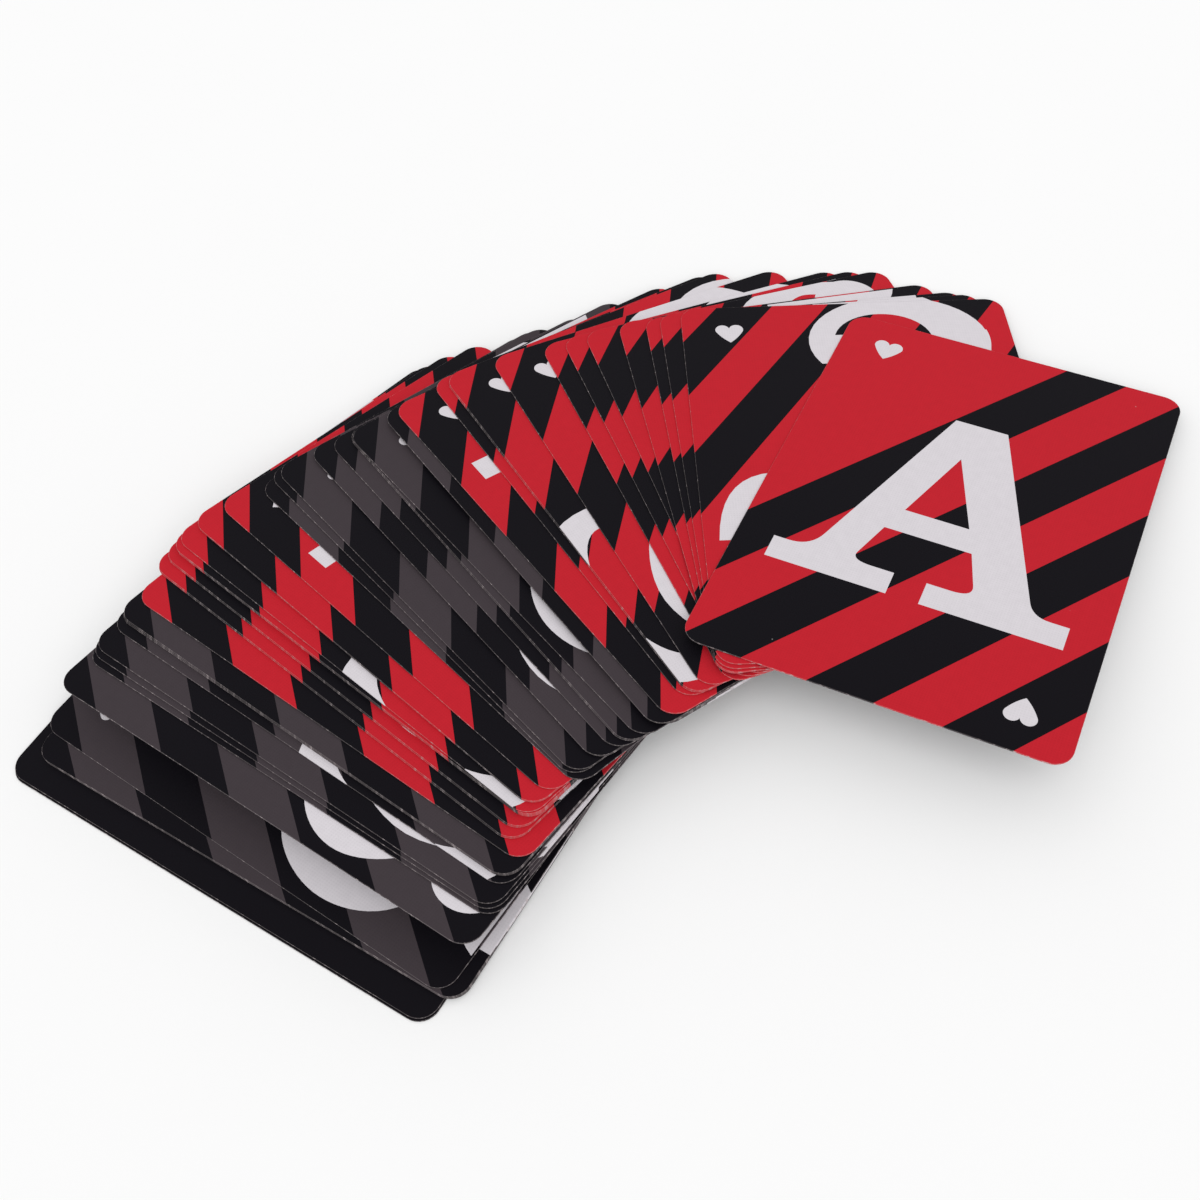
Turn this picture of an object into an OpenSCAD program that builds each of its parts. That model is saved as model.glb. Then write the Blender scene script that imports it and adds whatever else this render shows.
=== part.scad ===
// A face-up pack of playing cards, spread by hand into an arc on a table.
// Every card is a loose plate with round corners. The lowest ones lie flat; the rest of the pile
// has slid so far that it leans over their edge, until its far corner rests on the table.
// Origin: centre of the lowest card's underside. +Z is up, and the table is at Z = 0.

/* [Card] */
// Width of a card
card_w = 63.5; // [50:0.5:80]
// Length of a card
card_h = 88.9; // [75:0.1:110]
// Thickness of a card
card_t = 0.25; // [0.2:0.01:0.4]
// Radius of a card's corners
corner_r = 3.5; // [1:0.5:8]

/* [Spread] */
// Air left between one card and the next
air_gap = 0.03; // [0.02:0.01:0.1]
// Turn of the lowest card, in degrees from the X axis
first_turn = 55; // [40:1:70]
// Direction in which the pile leans over, in degrees from the X axis
lean_dir = 53; // [45:1:65]
// How many of the lowest cards lie flat on the table
flat_cards = 7; // [4:1:7]
// How many cards lean part of the way, between the flat ones and the rest of the pile
easing_cards = 0; // [0:1:4]
// Air left between the pile's lowest corner and the table
table_gap = 0.05; // [0.02:0.01:0.2]

/* [Colours] */
// Ink of the hearts and diamonds
red_ink = "#c82a37"; // color
// Ink of the clubs and spades
grey_ink = "#4b4448"; // color
// Ink of the jokers
black_ink = "#201c22"; // color

/* [Hidden] */

RANKS = [
    "ace", "two", "three", "four", "five", "six", "seven",
    "eight", "nine", "ten", "jack", "queen", "king"
];
TOP_RANK = len(RANKS) - 1;
JOKERS = ["first_joker", "second_joker"];
// From the bottom of the pile up: the suit, whether its ranks rise, and its ink
SUITS = [
    ["spades", true, grey_ink],
    ["diamonds", true, red_ink],
    ["clubs", false, grey_ink],
    ["hearts", false, red_ink]
];
NODES = concat(
    JOKERS,
    [for (suit = SUITS) for (n = [0:TOP_RANK]) str(RANKS[suit[1] ? n : TOP_RANK - n], "_of_", suit[0])]
);
INKS = concat([for (joker = JOKERS) black_ink], [for (suit = SUITS) for (rank = RANKS) suit[2]]);
CARDS = len(NODES);

// Steps from each card to the next one up, in runs of [cards, push, lift, turn].
// Push goes along the card's lower edge and lift up its length, in hundredths of a card's width.
// Turn is clockwise, in degrees.
RUNS = [
    // second joker, then the ace of spades with three more square on it
    [1, 0.5, 0.3, 0],
    [1, 7.7, -4.1, -0.2],
    [3, 0, 0, 0],
    // five and six of spades
    [1, 0, 3.8, 3.1],
    [1, 9, -2.8, -0.2],
    // seven to ten of spades
    [1, 9.4, -0.3, 0.4],
    [2, 0.8, 0.8, 0.5],
    [1, 6, 0.6, 0.6],
    // jack of spades, with the queen and the king close on it
    [1, 1.9, 0.6, 0.5],
    [2, 0, 0, 0.1],
    // ace of diamonds, then a pair, another pair and four together
    [1, 5.7, 0, 0.4],
    [1, 2.4, 4.7, 3.3],
    [1, 0.2, 0, 0],
    [1, 2.8, 0.6, 0.5],
    [1, 0.2, 0, 0],
    [1, 3.6, -0.3, -0.2],
    [3, 0, 0, 0],
    // ten of diamonds, the jack and queen together, the king
    [1, 0, 0.5, 1],
    [1, 2.7, 0.8, 1.7],
    [1, 0, 0, 0],
    [1, 5.2, -0.6, 1.6],
    // king, queen and jack of clubs, the ten under the nine, then the eight
    [1, 6.6, -3.1, 2.3],
    [1, 0.3, 2.2, 1.8],
    [1, 1.1, 0, 0.6],
    [1, 6.3, -0.5, 2.1],
    [1, -0.2, 0, 0],
    [1, 5.4, -0.9, 0.5],
    // seven and six of clubs together, the five, three more that the ace hides, and the ace
    [1, 2.8, -0.5, 1.2],
    [1, 0.2, 0, 0],
    [1, 4, -1, -1.7],
    [1, 5.7, -0.8, 3.1],
    [2, 0, 0, 0],
    [1, -1.4, 0, 0],
    // king and queen of hearts, the jack and ten together
    [1, 4.3, 0.2, -0.1],
    [1, 6.3, 2.4, 3.4],
    [1, 1.7, -0.3, 1],
    [1, 0.2, 0, 0],
    // the fanned hearts, from the nine down to the two
    [1, 3.8, 0, 4.9],
    [1, 6, -1.4, 4.1],
    [2, 2.2, 0.2, 2],
    [1, -6, 1.9, 7.1],
    [1, -0.2, 0.3, 3.6],
    [1, 0, 1, 1.9],
    [1, 0.2, 1.4, 2.7],
    // ace of hearts, swung out on top
    [1, -9, 9.3, 26.6]
];
STEPS = [for (run = RUNS) for (n = [1:run[0]]) [run[1], run[2], run[3]]];

pitch = card_t + air_gap;
steepest_lean = 40;
halvings = 40;

// Directions along a card's lower edge, and up its length, when it is turned by an angle
function along(turn) = [cos(turn), sin(turn)];
function up(turn) = [-sin(turn), cos(turn)];

// Place of a card in its own plane: [lower left corner, turn]
FIRST_PLACE = [-card_w / 2 * along(first_turn) - card_h / 2 * up(first_turn), first_turn];
function next_place(place, step) =
    let (slide = card_w / 100 * (step[0] * along(place[1]) + step[1] * up(place[1])))
    [place[0] + slide, place[1] - step[2]];
PLACES = [
    for (
        i = 0, place = FIRST_PLACE;
        i < CARDS;
        place = i < CARDS - 1 ? next_place(place, STEPS[i]) : place, i = i + 1
    ) place
];

// How far a card reaches in the direction of the lean
function corner_centres(place) = [
    for (x = [corner_r, card_w - corner_r]) for (y = [corner_r, card_h - corner_r])
        place[0] + x * along(place[1]) + y * up(place[1])
];
REACH = [for (place = PLACES) max([for (c = corner_centres(place)) c * along(lean_dir)]) + corner_r];

// A card's part of the pile's lean: none where it lies flat, all of it past the easing cards
function share(i) = min(max((i - flat_cards + 1) / (easing_cards + 1), 0), 1);

// Rise from one card's plane to the next, at the axis that the cards lean about
function rise(i, lean) =
    let (lower = lean * share(i), upper = lean * share(i + 1))
    pitch / cos(upper) + (tan(upper) - tan(lower)) * cos(lower) * REACH[i];
function heights(lean) = [for (i = 0, h = 0; i < CARDS; h = h + rise(i, lean), i = i + 1) h];

// The pile leans until its lowest corner rests on the table
function lowest(lean) =
    let (h = heights(lean))
    min([for (i = [flat_cards:CARDS - 1]) h[i] - sin(lean * share(i)) * REACH[i]]);
function settled(low, high, n) =
    n < 1 ? low :
    let (middle = (low + high) / 2)
    lowest(middle) > table_gap ? settled(middle, high, n - 1) : settled(low, middle, n - 1);
pile_lean = settled(0, steepest_lean, halvings);
HEIGHTS = heights(pile_lean);

module card_outline() {
    translate([corner_r, 0])
        square([card_w - 2 * corner_r, card_h]);
    translate([0, corner_r])
        square([card_w, card_h - 2 * corner_r]);
    for (x = [corner_r, card_w - corner_r])
        for (y = [corner_r, card_h - corner_r])
            translate([x, y])
                circle(corner_r, $fn = 48);
}

module card(i) {
    color(INKS[i])
        translate([0, 0, HEIGHTS[i]])
            rotate(a = pile_lean * share(i), v = [-sin(lean_dir), cos(lean_dir), 0])
                translate(PLACES[i][0])
                    rotate(PLACES[i][1])
                        linear_extrude(card_t)
                            card_outline();
}

for (i = [0:CARDS - 1])
    card(i);
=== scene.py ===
"""A face-up pack of playing cards, spread by hand into an arc: print, finish, light and camera."""
import math

import bpy
import numpy as np
from bpy.props import FloatProperty, FloatVectorProperty, PointerProperty
from mathutils import Matrix, Vector
from mathutils.geometry import delaunay_2d_cdt


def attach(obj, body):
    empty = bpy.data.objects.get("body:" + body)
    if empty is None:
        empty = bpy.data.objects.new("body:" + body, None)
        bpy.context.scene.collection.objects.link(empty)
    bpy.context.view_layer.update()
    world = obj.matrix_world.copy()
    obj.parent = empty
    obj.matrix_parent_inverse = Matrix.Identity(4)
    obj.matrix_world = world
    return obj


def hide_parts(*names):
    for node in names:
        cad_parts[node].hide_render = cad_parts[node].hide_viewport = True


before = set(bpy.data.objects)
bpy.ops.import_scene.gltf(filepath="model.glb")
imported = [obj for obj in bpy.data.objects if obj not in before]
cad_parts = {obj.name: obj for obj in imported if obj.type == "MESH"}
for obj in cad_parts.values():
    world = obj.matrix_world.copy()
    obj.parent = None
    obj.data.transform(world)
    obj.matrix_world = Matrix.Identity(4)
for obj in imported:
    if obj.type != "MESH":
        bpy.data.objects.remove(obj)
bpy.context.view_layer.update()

bl_info = {
    "name": "Striped card pack",
    "version": (1, 0, 0),
    "blender": (4, 5, 0),
    "location": "View3D > Sidebar > Cards",
    "description": "Prints and finishes a spread pack of 54 playing cards",
    "category": "Object",
}

MM = 0.001
RANKS = (
    "ace", "two", "three", "four", "five", "six", "seven",
    "eight", "nine", "ten", "jack", "queen", "king",
)
LETTERS = ("ace", "jack", "queen", "king")
# Straight pieces in a curve, in a full round and in a card's corner
CURVE_STEPS = 9
ROUND_STEPS = 44
CORNER_STEPS = 8
# Decimals of a metre, and millimetres, within which two points count as one
SAME_DECIMALS = 7
SAME_POINT = 1e-4
# Smallest corner radius of the frames on a card's back, in millimetres
LEAST_RADIUS = 0.5


def linear(code):
    """Linear RGB of an sRGB hex colour."""
    parts = [int(code[i:i + 2], 16) / 255 for i in (1, 3, 5)]
    return [p / 12.92 if p <= 0.04045 else ((p + 0.055) / 1.055) ** 2.4 for p in parts]


def length(name, description, millimetres):
    """A length property, given in millimetres."""
    return FloatProperty(
        name=name, description=description, default=millimetres * MM, unit="LENGTH", precision=5)


def angle(name, description, degrees):
    """An angle property, given in degrees."""
    return FloatProperty(
        name=name, description=description, default=math.radians(degrees), subtype="ANGLE")


def ink(name, description, code):
    """A colour property, given as an sRGB hex value."""
    return FloatVectorProperty(
        name=name, description=description, default=linear(code), size=3, subtype="COLOR")


class CardSizes(bpy.types.PropertyGroup):
    """Sizes of the card plate and its print."""
    corner: length("Corner radius", "Radius of a card's corners", 3.5)
    rounding: length("Edge rounding", "How far the die rounds the cut edge", 0.06)
    stripe: length("Stripe width", "Width of a diagonal stripe, square to it", 8.95)
    first_stripe: length("First stripe", "From the top left corner to the first change of ink", 5.9)
    ace_field: length(
        "Ace field", "The same on the ace of hearts, which starts with a plain field", 34)
    stripe_slope: angle("Stripe slope", "Angle of the stripes to the top edge", 54.1)
    pip_in: length("Pip from the side", "From the left edge to the middle of the corner pip", 9.2)
    pip_down: length("Pip from the top", "From the top edge to the middle of the corner pip", 7.9)
    pip_width: length("Pip width", "Width of the corner pip", 5.4)
    letter_base: length(
        "Letter baseline", "From the card's middle down to the foot of a letter", 22.2)
    number_in: length(
        "Number start", "From the left edge to the start of an upright number", 25)
    number_base: length(
        "Number baseline", "From the card's middle up to the foot of an upright number", 1.8)
    back_border: length("Back border", "Width of the plain border on a card's back", 4.5)
    back_line: length("Back line", "Width of the pale line inside that border", 0.8)


class CardInks(bpy.types.PropertyGroup):
    """Inks and bare stock."""
    red: ink("Red", "Ink of the hearts and diamonds", "#c2232f")
    black: ink("Black", "Ink that every card shares", "#110f14")
    grey: ink("Grey", "Ink of the clubs and spades", "#423b3f")
    white: ink("White", "Coated stock left bare for ranks and pips", "#dad5da")
    core: ink("Core", "Paper core that shows on the cut edge", "#b7acac")
    dust: ink("Dust", "Specks of dust on the varnish", "#bbb8b8")
    floor: ink("Floor", "The table top", "#fcfcfc")


class CardStage(bpy.types.PropertyGroup):
    """Camera and light."""
    place: FloatVectorProperty(
        name="Camera", description="Where the camera stands", default=(0.0596, -0.1271, 0.2204),
        subtype="XYZ", unit="LENGTH", precision=5)
    elevation: angle("Elevation", "How steeply the camera looks down", 55.62)
    azimuth: angle("Azimuth", "How far the camera looks round from the Y axis", -4.08)
    roll: angle("Roll", "How far the camera tips to one side", -9)
    lens: FloatProperty(
        name="Lens", description="Focal length on a 36 mm wide sensor", default=45.15,
        subtype="DISTANCE_CAMERA")
    fill: FloatProperty(
        name="Fill", description="Share of the light that comes evenly from all round", default=0.7,
        subtype="FACTOR", min=0, max=1)
    lamp_height: angle("Lamp height", "Angle of the lamp above the table", 52)
    lamp_side: angle("Lamp side", "Direction of the lamp, from the X axis", -85)
    lamp_size: angle("Lamp size", "Angle that the soft lamp takes up", 60)


# Outlines, in millimetres


def bar(left, low, right, high):
    """A rectangle."""
    return [(left, low), (right, low), (right, high), (left, high)]


def disc(x, y, across, up=None):
    """An ellipse from its middle and half sizes."""
    turns = [2 * math.pi * k / ROUND_STEPS for k in range(ROUND_STEPS)]
    return [(x + across * math.cos(t), y + (up or across) * math.sin(t)) for t in turns]


def bend(start, control, end):
    """A curve between two points, pulled towards a third."""
    shares = [k / CURVE_STEPS for k in range(CURVE_STEPS + 1)]
    return [
        tuple(
            (1 - t) ** 2 * a + 2 * t * (1 - t) * b + t * t * c
            for a, b, c in zip(start, control, end))
        for t in shares
    ]


def stroke(*marks):
    """A pen stroke through marks of (x, y, width), smooth from each to the next."""
    path = np.array([marks[0], *marks, marks[-1]], float)
    line = []
    for a, b, c, d in zip(path, path[1:], path[2:], path[3:]):
        square, cube = 2 * a - 5 * b + 4 * c - d, 3 * (b - c) + d - a
        for t in np.arange(CURVE_STEPS) / CURVE_STEPS:
            line.append(b + 0.5 * t * (c - a + t * (square + t * cube)))
    line = np.array([*line, path[-1]])
    along = np.gradient(line[:, :2], axis=0)
    along /= np.linalg.norm(along, axis=1)[:, None]
    across = np.column_stack((-along[:, 1], along[:, 0])) * line[:, 2:] / 2
    return [tuple(p) for p in np.vstack((line[:, :2] + across, (line[:, :2] - across)[::-1]))]


def moved(outlines, x, y, turn=1):
    """Outlines shifted, and turned half round where turn is -1."""
    return [
        (sign, [(turn * (px + x), turn * (py + y)) for px, py in points])
        for sign, points in outlines
    ]


def solid(*outlines):
    """Outlines that all add ink-free area."""
    return [(True, points) for points in outlines]


def hole(*outlines):
    """Outlines that take it away again."""
    return [(False, points) for points in outlines]


def rounded(width, height, radius):
    """A rectangle with round corners, about the origin."""
    points = []
    for corner, (x, y) in enumerate(((1, 1), (-1, 1), (-1, -1), (1, -1))):
        for k in range(CORNER_STEPS + 1):
            turn = math.pi / 2 * (corner + k / CORNER_STEPS)
            points.append((
                x * (width / 2 - radius) + radius * math.cos(turn),
                y * (height / 2 - radius) + radius * math.sin(turn)))
    return points


# Ranks: bold letters and figures with slab feet, standing on y = 0


def letter_a():
    legs = [
        (-5, 45.1), (4.6, 45.1), *bend((18.2, 7.6), (19.2, 4.9), (22.2, 4.9)),
        (25.4, 4.9), (25.4, 0), (1.5, 0), (1.5, 4.9),
        *bend((5.5, 4.9), (9.5, 4.9), (8.7, 7.4)), (6.5, 14.3), (-8.8, 14.3),
        *bend((-11.2, 7), (-11.9, 4.9), (-8, 4.9)), (-4.1, 4.9), (-4.1, 0), (-25.4, 0),
        (-25.4, 4.9), *bend((-22.8, 4.9), (-19, 4.9), (-17.7, 8.6)),
    ]
    return solid(legs) + hole([(-1.4, 35.6), (4.6, 19.6), (-6.8, 19.6)])


def letter_j():
    hook = stroke((4, 16, 10), (3, 7.5, 9.5), (-4, 2.9, 6), (-10.5, 4.2, 6), (-14.5, 9.5, 7))
    return solid(bar(-1, 14, 9, 43), bar(-9.5, 40.1, 17.5, 45.1), hook, disc(-12.8, 10.6, 5.6))


def letter_q():
    tail = stroke(
        (-11.5, 8.5, 5), (-3, 14, 6.5), (5, 10.5, 8), (11, 2.5, 9), (17, -2.4, 7), (24, 0.5, 3))
    ring = solid(disc(0, 22.5, 23.5, 23.2)) + hole(disc(0, 22.5, 12.8, 18))
    return ring + solid(tail)


def letter_k():
    arm = [(-12, 15.5), (15, 41.5), (6, 41.5), (-12, 25)]
    leg = [(-4, 22.5), (3.4, 29.6), (23, 3), (10.6, 3)]
    feet = [
        bar(-25.2, 0, -4.5, 5), bar(-27.3, 40.1, -4.5, 45.1),
        bar(0.5, 40.1, 23, 45.1), bar(3, 0, 27.7, 5),
    ]
    return solid(bar(-21, 2, -11.5, 43), arm, leg, *feet)


def figure_two():
    arch = solid(disc(16.6, 30.9, 17.4, 13.3)) + hole(
        disc(13.7, 31.2, 9.5, 7.9), bar(9, 10, 36, 30.9), bar(-2, 10, 9, 25))
    end = [(-0.5, 33.2), (9, 33.2), (9, 25), (1, 25), (0, 27), (-0.8, 30.9)]
    slope = stroke(
        (28.5, 33, 10.8), (28.5, 29.5, 11), (26, 21.5, 10.6), (17.5, 13, 9.5), (8, 4.5, 9))
    base = [
        (1, 0), *bend((25, 0), (34.8, 0.6), (35.8, 15.9)), (31, 15.9),
        *bend((29.6, 12.5), (28, 9), (24, 9)), (1, 9),
    ]
    return arch + solid(end, slope, base)


def figure_three():
    upper = stroke(
        (4.2, 34, 5), (8, 41, 5.5), (17, 42.6, 5.6), (25, 39.4, 8.4), (27.4, 33.5, 9.6),
        (23, 26.5, 7), (13, 24, 5))
    lower = stroke(
        (13, 24.6, 5), (24, 22.6, 7), (30.6, 14, 10.8), (25.6, 5.6, 8.6), (16, 2.7, 5.6),
        (7, 4.4, 5.5), (3.8, 11, 5))
    return solid(upper, lower, disc(6.6, 34, 5.4), disc(6.4, 11, 5.8))


def figure_four():
    flank = [(0, 11.5), (0, 16), (19.5, 45.1), (25, 45.1), (25, 37), (21, 37), (7, 16.5), (7, 11.5)]
    return solid(flank, bar(19.5, 2, 29.5, 45.1), bar(0, 10.5, 36, 16.5), bar(12, 0, 36, 5))


def figure_five():
    bowl = stroke(
        (7.6, 22, 4.5), (13, 27.4, 5.5), (20.5, 28, 6), (28.6, 23.5, 9.6), (31, 14.8, 10.8),
        (27.6, 6, 9), (18.6, 2.3, 5.6), (8, 4, 5.5), (4.2, 10, 5))
    flag = [(5.3, 35.5), *bend((20, 35.5), (29, 35.5), (31.1, 42.3)), (5.3, 42.3)]
    return solid(flag, bar(5.3, 21, 10, 38), bowl, disc(6.6, 10.2, 5.8))


def figure_six():
    sweep = stroke(
        (31.6, 36, 5), (27.4, 39.6, 4.6), (19, 41.6, 3.6), (11, 37.5, 9), (5.8, 22.2, 11),
        (12.6, 7.2, 9), (20.5, 3.4, 5.2), (28.6, 7.4, 8.8), (31.1, 14.6, 10.6),
        (27.4, 22.2, 8.6), (19, 25.8, 5.6), (9.5, 21, 5))
    return solid(sweep, disc(27.9, 35.5, 6.5))


def figure_seven():
    stem = [
        (24, 36), (33, 36), (33, 39), *bend((27, 26), (21.5, 14), (21.5, 0)), (9.5, 0),
        *bend((9.5, 14), (17, 26), (24, 36)),
    ]
    flag = [
        (1.5, 41.2), (1.5, 26), (6, 26), *bend((7, 30), (9, 33.5), (14, 33.5)),
        (33, 33.5), (33, 41.2),
    ]
    return solid(flag, stem)


def figure_eight():
    bowls = solid(disc(18.5, 33, 14, 11.3), disc(18.5, 13.2, 17.4, 13.6))
    return bowls + hole(disc(18.5, 33.2, 5.8, 7.4), disc(18.5, 12.8, 7.4, 8.8))


def figure_nine():
    """The six, turned half round in its own box."""
    return moved(figure_six(), -36, -45.2, -1)


def figure_ten():
    flag = [(1, 40.4), (-7.5, 35.2), (-7.5, 30.7), (1, 33.2)]
    one = solid(bar(0, 0, 9.5, 40.4), bar(-5.5, -1.2, 14.5, 3.6), flag)
    nought = solid(disc(32.7, 19.4, 16.6, 21.2)) + hole(disc(32.7, 19.4, 7.1, 15.9))
    return one + nought


# Pips, one unit wide, about the origin


def heart():
    right = bend((0, -0.5), (0.31, -0.24), (0.487, 0.12))
    flanks = [*[(-x, y) for x, y in right[:0:-1]], *right, (0, 0.25)]
    return solid(disc(-0.245, 0.2, 0.255), disc(0.245, 0.2, 0.255), flanks)


def diamond():
    """Four tips, with the sides between them pulled in a little."""
    tips, pull = ((0, 0.58), (-0.46, 0), (0, -0.58), (0.46, 0)), 0.42
    outline = []
    for a, b in zip(tips, tips[1:] + tips[:1]):
        outline += bend(a, ((a[0] + b[0]) * pull, (a[1] + b[1]) * pull), b)[:-1]
    return solid(outline)


def foot():
    """The stem under a spade or a club."""
    return [
        *bend((-0.05, 0), (-0.05, -0.38), (-0.24, -0.5)),
        *bend((0.24, -0.5), (0.05, -0.38), (0.05, 0)),
    ]


def spade():
    """A heart turned over, a little smaller, on its foot."""
    leaf = [[(x * 0.98, 0.08 - 0.86 * y) for x, y in loop] for _, loop in heart()]
    return solid(*leaf, foot())


def club():
    """Three leaves round a small middle, on their foot."""
    leaves = [disc(x, y, 0.235) for x, y in ((0, 0.24), (-0.26, -0.11), (0.26, -0.11))]
    return solid(*leaves, disc(0, 0, 0.12), foot())


def star():
    """A star with five points, for the jokers."""
    tips, inner, outer = 5, 0.22, 0.55
    outline = []
    for k in range(2 * tips):
        turn, reach = math.pi * (0.5 + k / tips), inner if k % 2 else outer
        outline.append((reach * math.cos(turn), reach * math.sin(turn)))
    return solid(outline)


RANK_FORMS = dict(zip(RANKS, (
    letter_a, figure_two, figure_three, figure_four, figure_five, figure_six, figure_seven,
    figure_eight, figure_nine, figure_ten, letter_j, letter_q, letter_k)))
SUIT_FORMS = {"hearts": heart, "diamonds": diamond, "clubs": club, "spades": spade}


def scaled(outlines, size):
    """Outlines made larger or smaller about the origin."""
    return [(sign, [(x * size, y * size) for x, y in points]) for sign, points in outlines]


# Card plates


def inside(points, outline):
    """Which of the points an outline winds round."""
    a = np.array(outline, float)
    b = np.roll(a, -1, axis=0)
    px, py = points[:, :1], points[:, 1:]
    side = (b[:, 0] - a[:, 0]) * (py - a[:, 1]) - (px - a[:, 0]) * (b[:, 1] - a[:, 1])
    rising = (a[:, 1] <= py) & (b[:, 1] > py) & (side > 0)
    falling = (a[:, 1] > py) & (b[:, 1] <= py) & (side < 0)
    return rising.sum(1) != falling.sum(1)


def cut_sheet(rim, outlines, lines):
    """Splits the sheet inside rim along outlines and lines: points, triangles and middles."""
    points, edges = [], []
    for loop in (rim, *outlines):
        start = len(points)
        points += loop
        edges += [(start + k, start + (k + 1) % len(loop)) for k in range(len(loop))]
    for line in lines:
        edges.append((len(points), len(points) + 1))
        points += line
    made, _, faces, *_ = delaunay_2d_cdt([Vector(p) for p in points], edges, [], 0, SAME_POINT)
    made = np.array([tuple(p) for p in made])
    faces = np.array(faces)
    faces = faces[inside(made[faces].mean(1), rim)]
    used, faces = np.unique(faces, return_inverse=True)
    made, faces = made[used], faces.reshape(-1, 3)
    return made, faces, made[faces].mean(1)


def border(faces):
    """The loop of points round a sheet of triangles, and the triangle after each point."""
    sides = {(int(f[k]), int(f[(k + 1) % 3])): n for n, f in enumerate(faces) for k in range(3)}
    after = {a: b for a, b in sides if (b, a) not in sides}
    loop = [next(iter(after))]
    while after[loop[-1]] != loop[0]:
        loop.append(after[loop[-1]])
    return loop, [sides[a, after[a]] for a in loop]


class Plate:
    """A card node's own frame: its size in millimetres and its place, with the print side up."""

    def __init__(self, name):
        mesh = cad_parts[name].data
        corners = [tuple(v.co) for v in mesh.vertices]
        points = np.unique(np.round(corners, SAME_DECIMALS), axis=0)
        normal = np.array(max(mesh.polygons, key=lambda p: p.area).normal, float)
        normal *= math.copysign(1, normal[2])
        spread = np.linalg.eigh(np.cov(points.T))[1]
        up = spread[:, 2] - normal * (spread[:, 2] @ normal)
        up *= math.copysign(1 / np.linalg.norm(up), up[1])
        axes = np.array((np.cross(up, normal), up, normal))
        local = points @ axes.T
        low, high = local.min(0), local.max(0)
        self.width, self.height, self.thick = (high - low) / MM
        origin = ((low + high) / 2 * (1, 1, 0) + low * (0, 0, 1)) @ axes
        self.matrix = Matrix.Translation(origin) @ Matrix(axes.T.tolist()).to_4x4()


def stripe_count(plate, sizes, x, y, first):
    """Which stripe a point of the face lies on, counted from the top left corner."""
    slope = sizes.stripe_slope
    reach = (x + plate.width / 2) * math.sin(slope) + (plate.height / 2 - y) * math.cos(slope)
    return np.floor((reach - first / MM) / (sizes.stripe / MM)).astype(int) + 1


def stripe_lines(plate, sizes, first):
    """The changes of ink, as lines right across the face."""
    slope = sizes.stripe_slope
    half = plate.width + plate.height
    reach = plate.width * math.sin(slope) + plate.height * math.cos(slope)
    lines = []
    for k in range(int((reach - first / MM) / (sizes.stripe / MM)) + 1):
        x = (first + k * sizes.stripe) / MM / math.sin(slope) - plate.width / 2
        run, rise = half * math.cos(slope), half * math.sin(slope)
        lines.append([(x - run, plate.height / 2 - rise), (x + run, plate.height / 2 + rise)])
    return lines


def lattice_lines(lines, half_width, half_height):
    """Those lines and their mirror images, cut off at the sides of a panel."""
    cut = []
    for (x, y), (to_x, to_y) in lines:
        spans = [
            sorted((s * half - at) / run for s in (-1, 1))
            for at, run, half in ((x, to_x - x, half_width), (y, to_y - y, half_height))
        ]
        start, end = max(s[0] for s in spans), min(s[1] for s in spans)
        if start < end:
            ends = [(x + t * (to_x - x), y + t * (to_y - y)) for t in (start, end)]
            cut += [ends, [(-px, py) for px, py in ends]]
    return cut


def print_of(name, plate, sizes):
    """The bare outlines on a card's face."""
    rank, _, suit = name.partition("_of_")
    if not suit:
        pip, marks = star(), scaled(star(), plate.width / 2)
    else:
        pip, marks = SUIT_FORMS[suit](), RANK_FORMS[rank]()
        if rank in LETTERS:
            marks = moved(marks, 0, -sizes.letter_base / MM)
        else:
            right, up = sizes.number_in / MM - plate.width / 2, sizes.number_base / MM
            marks = moved(marks, right, up) + moved(marks, right, up, -1)
    pip = scaled(pip, sizes.pip_width / MM)
    left, top = sizes.pip_in / MM - plate.width / 2, plate.height / 2 - sizes.pip_down / MM
    return marks + moved(pip, left, top) + moved(pip, left, top, -1)


def front(name, plate, sizes, rim):
    """The printed face: points, triangles and the ink of each."""
    bare = print_of(name, plate, sizes)
    first = sizes.ace_field if name == "ace_of_hearts" else sizes.first_stripe
    striped = "_of_" in name
    lines = stripe_lines(plate, sizes, first) if striped else []
    points, faces, middles = cut_sheet(rim, [loop for _, loop in bare], lines)
    pair = ["red", "black"] if name.endswith(("hearts", "diamonds")) else ["black", "grey"]
    counts = stripe_count(plate, sizes, *middles.T, first).clip(0)
    white = np.zeros(len(middles), bool)
    for sign, loop in bare:
        white[inside(middles, loop)] = sign
    inks = ["white" if w else pair[c % 2] if striped else "black" for w, c in zip(white, counts)]
    return points, faces, inks


def back(plate, sizes, rim):
    """The unseen side: a plain border, a pale line and a lattice of two inks."""
    frames = []
    for inset in (sizes.back_border, sizes.back_border + sizes.back_line):
        less = 2 * inset / MM
        radius = max(sizes.corner / MM - inset / MM, LEAST_RADIUS)
        frames.append(rounded(plate.width - less, plate.height - less, radius))
    lines = lattice_lines(stripe_lines(plate, sizes, 0), *(max(axis) for axis in zip(*frames[1])))
    points, faces, middles = cut_sheet(rim, frames, lines)
    x, y = middles.T
    lattice = (stripe_count(plate, sizes, x, y, 0) + stripe_count(plate, sizes, -x, y, 0)) % 2
    outer, inner = (inside(middles, loop) for loop in frames)
    inks = [
        "black" if not o else "white" if not i else ("black", "grey")[n]
        for o, i, n in zip(outer, inner, lattice)
    ]
    return points, faces, inks


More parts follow.
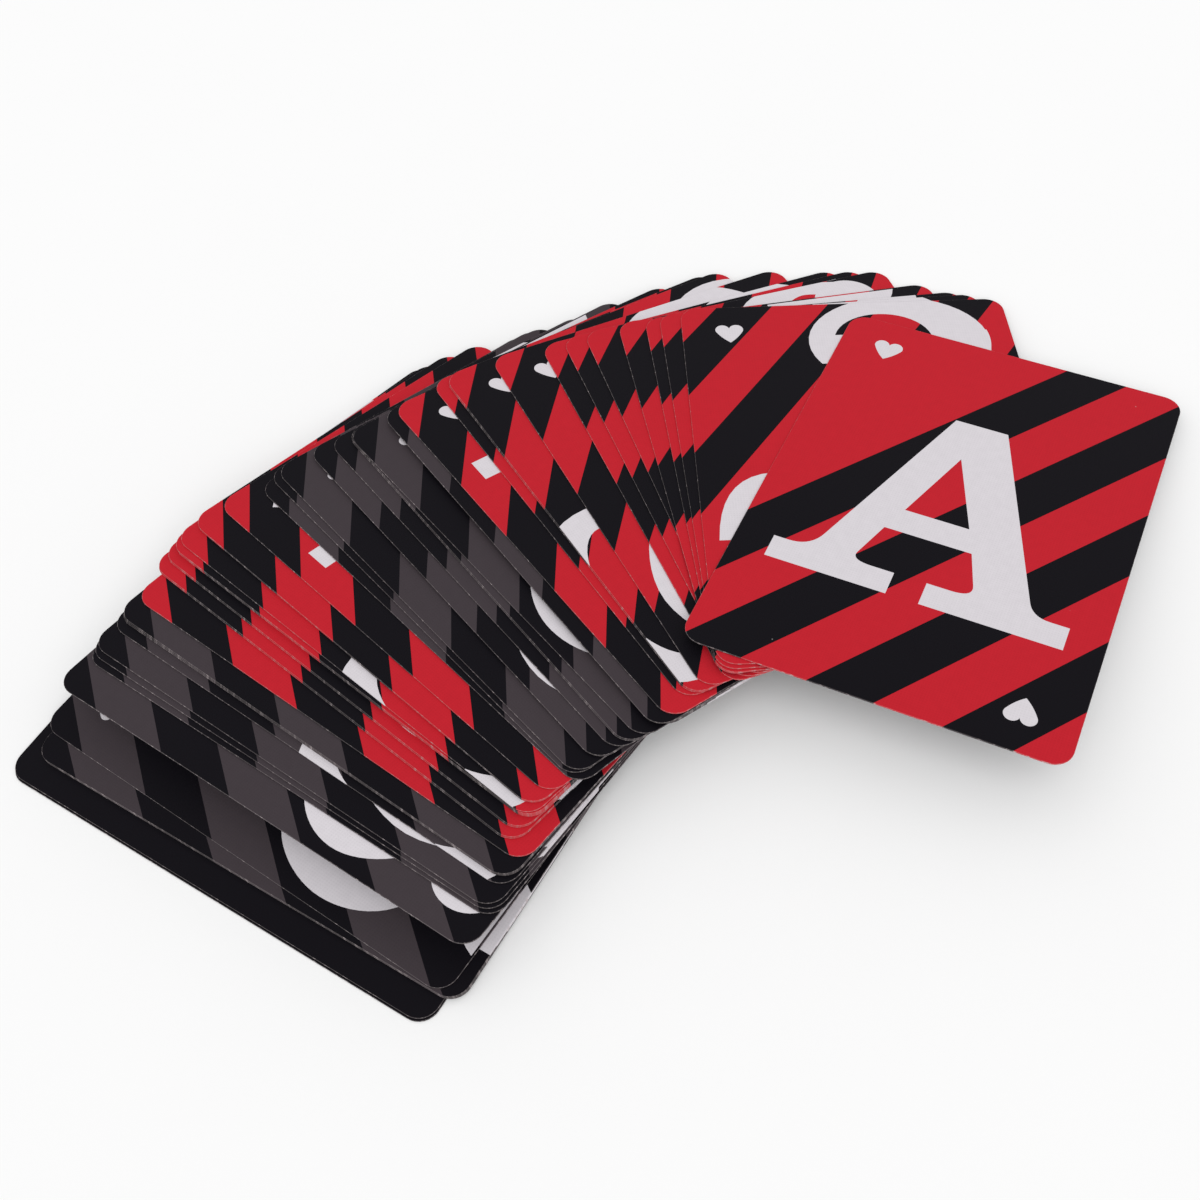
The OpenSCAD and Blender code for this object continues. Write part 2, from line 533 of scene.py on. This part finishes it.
def card(name, plate, sizes, finishes):
    """One printed card as a closed mesh, with the cut edge rounded."""
    round_by = sizes.rounding / MM
    corner = sizes.corner / MM
    flat = rounded(plate.width - 2 * round_by, plate.height - 2 * round_by, corner - round_by)
    sheet, faces, inks = front(name, plate, sizes, flat)
    loop, beside = border(faces)
    rim = sheet[loop]
    straight = np.array((plate.width, plate.height)) / 2 - corner
    core = np.clip(rim, -straight, straight)
    outward = (rim - core) / np.linalg.norm(rim - core, axis=1)[:, None]

    points = [(x, y, plate.thick) for x, y in sheet]
    polygons = [tuple(f) for f in faces]
    rings = [loop]
    # Rings round the edge, from face to back: share of the rounding, and whether it is the face's
    for share, at_face in ((0.5, True), (1, True), (1, False), (0.5, False), (0, False)):
        dip = round_by * (1 - math.sqrt(1 - share ** 2))
        height = plate.thick - dip if at_face else dip
        rings.append(list(range(len(points), len(points) + len(loop))))
        points += [(x, y, height) for x, y in rim + outward * round_by * share]
    for upper, lower in zip(rings, rings[1:]):
        for k in range(len(loop)):
            after = (k + 1) % len(loop)
            polygons.append((upper[after], upper[k], lower[k], lower[after]))
    edges = [inks[n] + "_edge" for n in beside] * (len(rings) - 1)

    under, tiles, tints = back(plate, sizes, [tuple(p) for p in rim])
    turned = dict(zip(range(len(loop)), rings[-1]))
    for k in range(len(loop), len(under)):
        turned[k] = len(points)
        points.append((*under[k], 0))
    polygons += [tuple(turned[int(k)] for k in tile[::-1]) for tile in tiles]

    mesh = bpy.data.meshes.new(name + "_card")
    mesh.from_pydata([Vector(p) * MM for p in points], [], polygons)
    used = [*inks, *edges, *tints]
    slots = sorted(set(used))
    for slot in slots:
        mesh.materials.append(finishes[slot])
    mesh.polygons.foreach_set("material_index", [slots.index(u) for u in used])
    mesh.polygons.foreach_set("use_smooth", [u.endswith("_edge") for u in used])
    mesh.update()
    made = bpy.data.objects.new(name + "_card", mesh)
    bpy.context.scene.collection.objects.link(made)
    made.matrix_world = plate.matrix
    return made


# Materials


def put(tree, kind, sockets=(), **settings):
    """Adds a node with its settings, and sets or links its inputs."""
    made = tree.nodes.new(kind)
    for key, value in settings.items():
        setattr(made, key, value)
    for key, value in dict(sockets).items():
        if isinstance(value, bpy.types.NodeSocket):
            tree.links.new(value, made.inputs[key])
        else:
            made.inputs[key].default_value = value
    return made.outputs


def material(name):
    """An empty node material and its tree."""
    made = bpy.data.materials.new(name)
    made.use_nodes = True
    made.node_tree.nodes.clear()
    return made, made.node_tree


def printed_card(name, colour, dust):
    """Offset ink on coated card, embossed between linen rolls and varnished.

    The eye gets an even, nearly matt ink with a slight mottle, a fine woven emboss and a few
    specks of dust. The emboss's light and shade is also painted into the ink's colour, lighter
    on the threads and darker between them.
    """
    mottle, thread, cell = 1.4 * MM, 0.5 * MM, 3.5 * MM
    # A speck's radius as a share of its cell, the share of clean cells, and the ink a speck hides
    speck, clean, cover = 0.035, 0.82, 0.35
    made, tree = material(name)
    place = put(tree, "ShaderNodeTexCoord")["Object"]
    cloud = put(tree, "ShaderNodeTexNoise", {
        "Vector": place, "Scale": 1 / mottle, "Detail": 4})["Fac"]
    light = put(tree, "ShaderNodeMapRange", {
        "Value": cloud, "From Min": 0.3, "From Max": 0.7, "To Min": 0.98, "To Max": 1.02})["Result"]
    # A wave's bands repeat every 2 pi / 20 of its scaled coordinate
    bands = 2 * math.pi / 20 / thread
    weft, warp = (
        put(tree, "ShaderNodeTexWave", {"Vector": place, "Scale": bands, "Distortion": 0.6},
            bands_direction=axis)["Fac"]
        for axis in "XY")
    weave = put(tree, "ShaderNodeMath", {0: weft, 1: warp}, operation="MAXIMUM")["Value"]
    # Painted shade of the emboss: the ink is lighter on the threads and darker between them
    painted_weave_shade = put(tree, "ShaderNodeMapRange", {
        "Value": weave, "To Min": 0.96, "To Max": 1.02})["Result"]
    light = put(tree, "ShaderNodeMath", {0: light, 1: painted_weave_shade}, operation="MULTIPLY")["Value"]
    tone = put(tree, "ShaderNodeHueSaturation", {"Color": (*colour, 1), "Value": light})["Color"]
    cells = put(tree, "ShaderNodeTexVoronoi", {"Vector": place, "Scale": 1 / cell})
    small = put(tree, "ShaderNodeMath", {
        0: cells["Distance"], 1: speck}, operation="LESS_THAN")["Value"]
    rare = put(tree, "ShaderNodeSeparateColor", {"Color": cells["Color"]})["Red"]
    rare = put(tree, "ShaderNodeMath", {0: rare, 1: clean}, operation="GREATER_THAN")["Value"]
    dusty = put(tree, "ShaderNodeMath", {0: small, 1: rare}, operation="MULTIPLY")["Value"]
    dusty = put(tree, "ShaderNodeMath", {0: dusty, 1: cover}, operation="MULTIPLY")["Value"]
    tone = put(tree, "ShaderNodeMix", {
        "Factor": dusty, "A": tone, "B": (*dust, 1)}, data_type="RGBA")
    tone = next(s for s in tone if s.type == "RGBA")
    normal = put(tree, "ShaderNodeBump", {
        "Height": weave, "Strength": 0.25, "Distance": 0.02 * MM})["Normal"]
    rough = put(tree, "ShaderNodeMapRange", {
        "Value": cloud, "To Min": 0.46, "To Max": 0.58})["Result"]
    shader = put(tree, "ShaderNodeBsdfPrincipled", {
        "Base Color": tone, "Roughness": rough, "Normal": normal, "IOR": 1.45,
        "Specular IOR Level": 0.05})["BSDF"]
    put(tree, "ShaderNodeOutputMaterial", {"Surface": shader})
    return made


def cut_edge(name, colour, core):
    """Die-cut board: ink dragged over a paper core, so a dull line with bright torn flecks."""
    # Paper fibres are finer than this, and are drawn coarser so that they show
    fleck, fibre = 0.9 * MM, 0.12 * MM
    made, tree = material(name)
    place = put(tree, "ShaderNodeTexCoord")["Object"]
    torn = put(tree, "ShaderNodeTexNoise", {
        "Vector": place, "Scale": 1 / fleck, "Detail": 6, "Roughness": 0.75})["Fac"]
    bare = put(tree, "ShaderNodeMapRange", {
        "Value": torn, "From Min": 0.52, "From Max": 0.66,
        "To Min": 0.14, "To Max": 0.95})["Result"]
    tone = put(tree, "ShaderNodeMix", {
        "Factor": bare, "A": (*colour, 1), "B": (*core, 1)}, data_type="RGBA")
    tone = next(s for s in tone if s.type == "RGBA")
    hair = put(tree, "ShaderNodeTexNoise", {
        "Vector": place, "Scale": 1 / fibre, "Detail": 3})["Fac"]
    normal = put(tree, "ShaderNodeBump", {
        "Height": hair, "Strength": 0.3, "Distance": 0.02 * MM})["Normal"]
    shader = put(tree, "ShaderNodeBsdfPrincipled", {
        "Base Color": tone, "Roughness": 0.7, "Normal": normal, "Specular IOR Level": 0.2})["BSDF"]
    put(tree, "ShaderNodeOutputMaterial", {"Surface": shader})
    return made


def card_finishes(inks):
    """Every finish of the pack by its short name, made once."""
    found = {}
    for short in ("red", "black", "grey", "white"):
        colour = getattr(inks, short)
        face, edge = f"coated_card_{short}_offset_print", f"die_cut_card_edge_{short}"
        found[short] = bpy.data.materials.get(face) or printed_card(face, colour, inks.dust)
        found[short + "_edge"] = bpy.data.materials.get(edge) or cut_edge(edge, colour, inks.core)
    return found


# Operators


def deal(context, names):
    """Makes the printed cards that stand for these nodes."""
    finishes = card_finishes(context.scene.card_inks)
    for name in names:
        made = card(name, Plate(name), context.scene.card_sizes, finishes)
        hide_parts(name)
        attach(made, name)
    return {"FINISHED"}


def suit_names(suit):
    """The nodes of a suit, from its ace to its king."""
    return [f"{rank}_of_{suit}" for rank in RANKS]


class CARDS_OT_jokers(bpy.types.Operator):
    """Prints the two jokers"""
    bl_idname = "cards.jokers"
    bl_label = "Jokers"

    def execute(self, context):
        return deal(context, ("first_joker", "second_joker"))


class CARDS_OT_spades(bpy.types.Operator):
    """Prints the spades, in black and grey stripes"""
    bl_idname = "cards.spades"
    bl_label = "Spades"

    def execute(self, context):
        return deal(context, suit_names("spades"))


class CARDS_OT_diamonds(bpy.types.Operator):
    """Prints the diamonds, in red and black stripes"""
    bl_idname = "cards.diamonds"
    bl_label = "Diamonds"

    def execute(self, context):
        return deal(context, suit_names("diamonds"))


class CARDS_OT_clubs(bpy.types.Operator):
    """Prints the clubs, in black and grey stripes"""
    bl_idname = "cards.clubs"
    bl_label = "Clubs"

    def execute(self, context):
        return deal(context, suit_names("clubs"))


class CARDS_OT_hearts(bpy.types.Operator):
    """Prints the hearts, in red and black stripes"""
    bl_idname = "cards.hearts"
    bl_label = "Hearts"

    def execute(self, context):
        return deal(context, suit_names("hearts"))


def table_top(inks):
    """A pale matt table top: laminate with a barely visible mottle."""
    made, tree = material("matt_white_laminate")
    place = put(tree, "ShaderNodeTexCoord")["Object"]
    mottle = 40 * MM
    cloud = put(tree, "ShaderNodeTexNoise", {
        "Vector": place, "Scale": 1 / mottle, "Detail": 3})["Fac"]
    light = put(tree, "ShaderNodeMapRange", {
        "Value": cloud, "To Min": 0.995, "To Max": 1.005})["Result"]
    tone = put(tree, "ShaderNodeHueSaturation", {
        "Color": (*inks.floor, 1), "Value": light})["Color"]
    shader = put(tree, "ShaderNodeBsdfDiffuse", {"Color": tone})["BSDF"]
    put(tree, "ShaderNodeOutputMaterial", {"Surface": shader})
    return made


class CARDS_OT_stage(bpy.types.Operator):
    """Sets the table, the light and the camera"""
    bl_idname = "cards.stage"
    bl_label = "Stage"

    def execute(self, context):
        scene, stage = context.scene, context.scene.card_stage
        scene.view_settings.view_transform = "Standard"
        # The table's half side in metres, and the hair that it lies below the lowest card
        half, drop = 4, 0.05 * MM
        corners = [(x * half, y * half, -drop) for x, y in bar(-1, -1, 1, 1)]
        mesh = bpy.data.meshes.new("table_top")
        mesh.from_pydata(corners, [], [(0, 1, 2, 3)])
        mesh.materials.append(table_top(scene.card_inks))
        floor = bpy.data.objects.new("table_top", mesh)
        scene.collection.objects.link(floor)

        world = bpy.data.worlds.new("white_room")
        world.use_nodes = True
        tree = world.node_tree
        tree.nodes.clear()
        ray = put(tree, "ShaderNodeLightPath")
        seen = ray["Is Camera Ray"]
        for kind in ("Is Glossy Ray", "Is Transmission Ray"):
            seen = put(tree, "ShaderNodeMath", {
                0: seen, 1: ray[kind]}, operation="MAXIMUM")["Value"]
        level = put(tree, "ShaderNodeMapRange", {
            "Value": seen, "To Min": stage.fill, "To Max": 1})["Result"]
        glow = put(tree, "ShaderNodeBackground", {
            "Color": (*linear("#ffffff"), 1), "Strength": level})["Background"]
        put(tree, "ShaderNodeOutputWorld", {"Surface": glow})
        scene.world = world

        lamp = bpy.data.lights.new("soft_lamp", "SUN")
        lamp.angle = stage.lamp_size
        # A table lit by the fill and the lamp together shows its colour as written
        lamp.energy = math.pi * (1 - stage.fill) / math.sin(stage.lamp_height)
        shine = bpy.data.objects.new("soft_lamp", lamp)
        rise, side = stage.lamp_height, stage.lamp_side
        out = math.cos(rise)
        towards = Vector((out * math.cos(side), out * math.sin(side), math.sin(rise)))
        shine.rotation_euler = towards.to_track_quat("Z", "Y").to_euler()
        scene.collection.objects.link(shine)

        view = bpy.data.cameras.new("camera")
        view.lens = stage.lens
        view.clip_start = 0.01
        camera = bpy.data.objects.new("camera", view)
        camera.location = stage.place
        turn = (
            Matrix.Rotation(-stage.azimuth, 3, "Z")
            @ Matrix.Rotation(math.pi / 2 - stage.elevation, 3, "X")
            @ Matrix.Rotation(stage.roll, 3, "Z"))
        camera.rotation_euler = turn.to_euler()
        scene.collection.objects.link(camera)
        scene.camera = camera
        return {"FINISHED"}


class CARDS_PT_pack(bpy.types.Panel):
    """Lists the steps that dress the pack"""
    bl_idname = "CARDS_PT_pack"
    bl_label = "Striped card pack"
    bl_space_type = "VIEW_3D"
    bl_region_type = "UI"
    bl_category = "Cards"

    def draw(self, context):
        for step in STEPS:
            self.layout.operator(step.bl_idname)
        for group in (context.scene.card_sizes, context.scene.card_inks, context.scene.card_stage):
            for name in group.__annotations__:
                self.layout.prop(group, name)


STEPS = (
    CARDS_OT_jokers, CARDS_OT_spades, CARDS_OT_diamonds, CARDS_OT_clubs, CARDS_OT_hearts,
    CARDS_OT_stage,
)
CLASSES = (CardSizes, CardInks, CardStage, *STEPS, CARDS_PT_pack)


def register():
    for item in CLASSES:
        bpy.utils.register_class(item)
    bpy.types.Scene.card_sizes = PointerProperty(type=CardSizes)
    bpy.types.Scene.card_inks = PointerProperty(type=CardInks)
    bpy.types.Scene.card_stage = PointerProperty(type=CardStage)


def unregister():
    del bpy.types.Scene.card_sizes
    del bpy.types.Scene.card_inks
    del bpy.types.Scene.card_stage
    for item in reversed(CLASSES):
        bpy.utils.unregister_class(item)


def main():
    register()
    bpy.ops.cards.jokers()
    bpy.ops.cards.spades()
    bpy.ops.cards.diamonds()
    bpy.ops.cards.clubs()
    bpy.ops.cards.hearts()
    bpy.ops.cards.stage()


if __name__ == "__main__":
    main()
